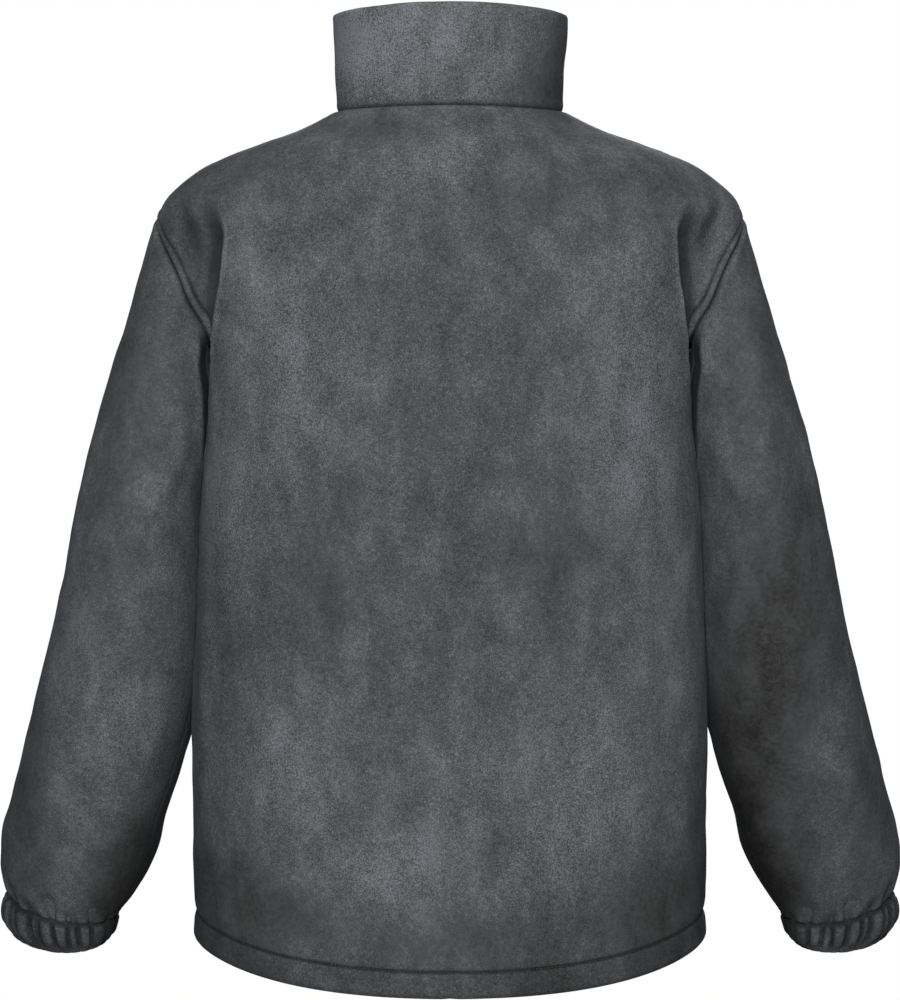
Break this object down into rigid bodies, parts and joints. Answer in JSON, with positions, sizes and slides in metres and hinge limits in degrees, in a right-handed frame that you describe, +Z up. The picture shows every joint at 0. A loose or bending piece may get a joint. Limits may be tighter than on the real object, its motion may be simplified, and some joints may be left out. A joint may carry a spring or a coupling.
{
  "type": "fleece zip jacket",
  "caption": "Long-sleeved fleece jacket with a stand-up collar, a full-length front zip, elastic cuffs and a stitched straight hem, filled out as if worn",
  "frame": {"origin": "Middle of the neck opening, level with the two points where the shoulder seams meet the collar; the jacket hangs from the wearer's shoulders around it", "axes": "+Z up, the front with the zip faces -Y, the back faces +Y, the wearer's left side is +X"},
  "size_m": [0.769, 0.2752, 0.7873],
  "materials": {
    "fleece": "heather charcoal anti-pill fleece with a short dense nap",
    "zip_tape": "woven polyester zip tape, near black",
    "zip_teeth": "moulded zip teeth and bottom box, satin near black",
    "zip_metal": "slider and pull in dark painted zinc"
  },
  "bodies": {
    "jacket": {"back": "fleece", "collar": "fleece", "cuff_left": "fleece", "cuff_right": "fleece", "front_left": "fleece", "front_right": "fleece", "sleeve_left": "fleece", "sleeve_right": "fleece", "zip_box": "zip_teeth", "zip_chain": "zip_teeth", "zip_slider": "zip_metal", "zip_tape_left": "zip_tape", "zip_tape_right": "zip_tape"},
    "zip_pull": {"zip_pull": "zip_metal"}
  },
  "joints": [
    {"name": "zip_pull_hinge", "type": "hinge", "parent": "jacket", "child": "zip_pull", "pos_m": [0, -0.08472, 0.01123], "axis": [-1, 0, 0], "range_deg": [0, 150]}
  ]
}
